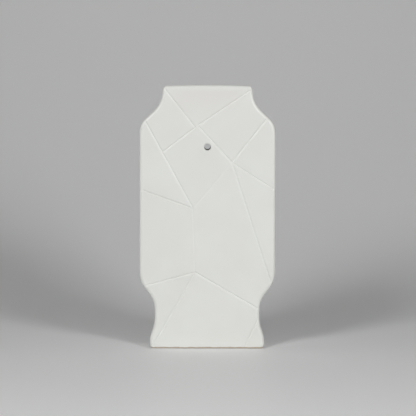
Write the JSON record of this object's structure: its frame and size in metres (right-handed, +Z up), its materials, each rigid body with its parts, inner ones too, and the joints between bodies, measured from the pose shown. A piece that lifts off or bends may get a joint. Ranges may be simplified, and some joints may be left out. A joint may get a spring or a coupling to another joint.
{
  "type": "hanging wall vase",
  "caption": "Flat white ceramic vase with a vase-shaped outline, incised straight lines on its front, a slot-like open mouth and a through hole for hanging it on a peg.",
  "frame": {"origin": "middle of the foot, on the surface that the vase stands on", "axes": "+Z up towards the rim, -Y out of the incised front face, +Y towards the wall, +X to the right seen from the front"},
  "size_m": [0.1292, 0.04, 0.25],
  "materials": {
    "satin_white_glaze": "satin white glaze, soft sheen",
    "bare_white_clay": "unglazed, rubbed smooth, warm off-white"
  },
  "bodies": {
    "root": {"front_wall": "satin_white_glaze", "back_wall": "satin_white_glaze", "left_side_wall": "satin_white_glaze", "right_side_wall": "satin_white_glaze", "base_slab": "bare_white_clay", "hanging_sleeve": "bare_white_clay"}
  },
  "joints": []
}
